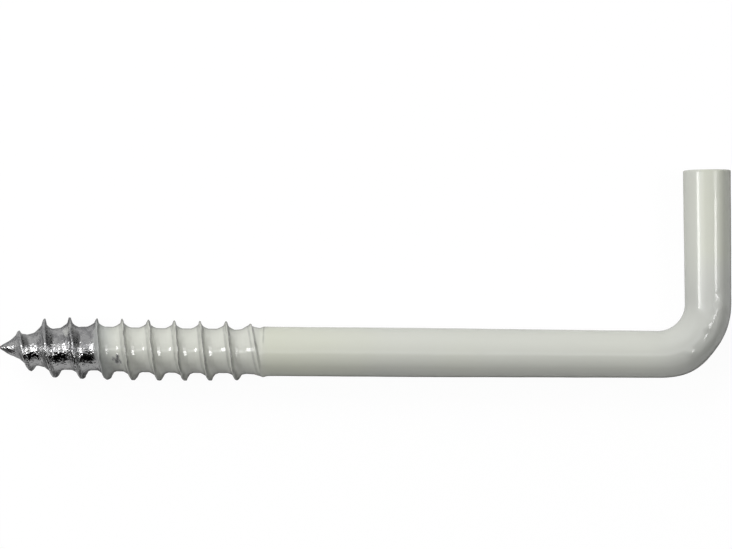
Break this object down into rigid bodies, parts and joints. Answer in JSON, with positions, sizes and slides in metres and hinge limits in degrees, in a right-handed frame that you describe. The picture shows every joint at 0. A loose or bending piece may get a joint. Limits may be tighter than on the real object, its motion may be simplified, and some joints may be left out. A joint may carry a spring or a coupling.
{
  "type": "screw hook",
  "caption": "Square-bend screw hook: a rod with a wood-screw thread at one end and an arm bent up square at the other, white coated with a bare zinc point.",
  "frame": {"origin": "on the shank's axis, at the plane where the thread ends and the plain shank starts, which meets the face of the wall when the hook is driven in", "axes": "+X along the shank from the point towards the bend, +Y the way the arm stands up, +Z out of the plane that the shank and the arm lie in"},
  "size_m": [0.075, 0.0221, 0.0064],
  "materials": {
    "white_coat": "glossy white dipped coating over zinc-plated steel wire, missing from the point and the first turns of the thread"
  },
  "bodies": {
    "root": {"hook": "white_coat"}
  },
  "joints": []
}
